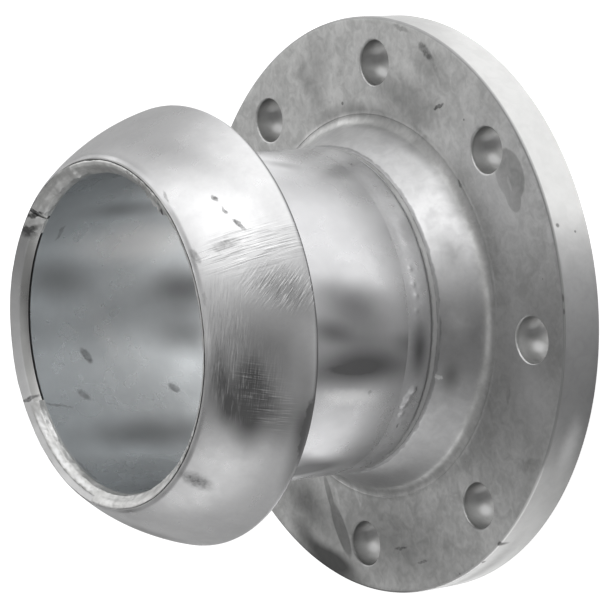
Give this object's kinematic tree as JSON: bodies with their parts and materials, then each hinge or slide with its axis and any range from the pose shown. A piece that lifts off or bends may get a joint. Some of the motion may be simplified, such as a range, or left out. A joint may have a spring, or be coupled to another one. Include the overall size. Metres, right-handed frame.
{
  "type": "flanged ball end of a lever-type pipe coupling",
  "caption": "Galvanised steel pipe fitting: a weld-neck flange butt-welded to a short pipe stub that carries a hollow ball-shaped coupling end with an open mouth",
  "frame": {"origin": "centre of the flange's flat sealing face, on which the fitting stands", "axes": "+Z runs along the pipe from the flange to the mouth of the ball; the bolt holes lie either side of +X and of +Y, half a pitch from each"},
  "size_m": [0.285, 0.285, 0.1801],
  "materials": {
    "galvanised_flange": "hot-dip galvanised, matt mottled grey zinc",
    "galvanised_pipe": "hot-dip galvanised, mottled zinc with soft bands",
    "galvanised_ball": "hot-dip galvanised, bright zinc with fine brushed scratches",
    "galvanised_weld": "hot-dip galvanised weld bead"
  },
  "bodies": {
    "root": {"weld_neck_flange": "galvanised_flange", "pipe_stub": "galvanised_pipe", "neck_weld": "galvanised_weld", "ball_shell": "galvanised_ball", "ball_back_weld": "galvanised_weld", "mouth_weld": "galvanised_weld", "mouth_tack_weld": "galvanised_weld"}
  },
  "joints": []
}
